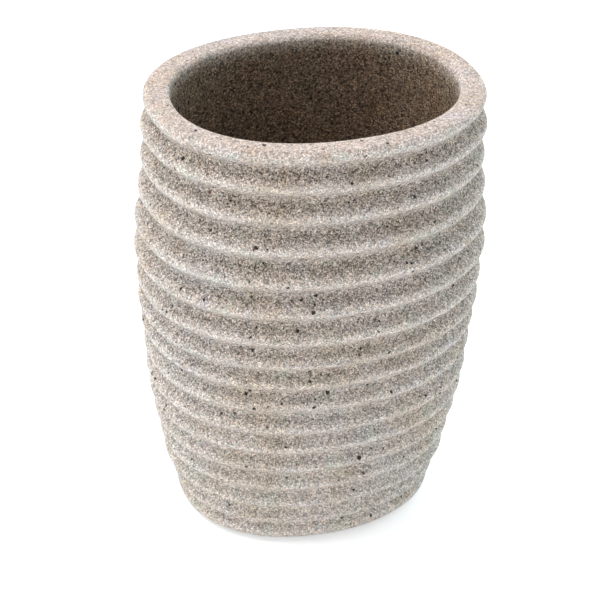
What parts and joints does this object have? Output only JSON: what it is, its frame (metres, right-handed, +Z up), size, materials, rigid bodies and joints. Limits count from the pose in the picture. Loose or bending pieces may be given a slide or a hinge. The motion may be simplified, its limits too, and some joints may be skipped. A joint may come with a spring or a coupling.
{
  "type": "toothbrush holder",
  "caption": "Oval free-standing toothbrush tumbler, with uneven soft ribs round its side, a flat rim, an open tapered inside and a soft pad under the foot.",
  "frame": {"origin": "under the middle of the oval, on the surface that the tumbler stands on", "axes": "+Z up to the open mouth, +X along the oval's long axis, +Y along its short axis"},
  "size_m": [0.0868, 0.0712, 0.115],
  "materials": {
    "stone_resin": "matte, fine sandy speckle with small open pits, as cast polyester resin filled with stone powder",
    "foam": "matte, fine closed cells"
  },
  "bodies": {
    "root": {"tumbler_body": "stone_resin", "base_pad": "foam"}
  },
  "joints": []
}
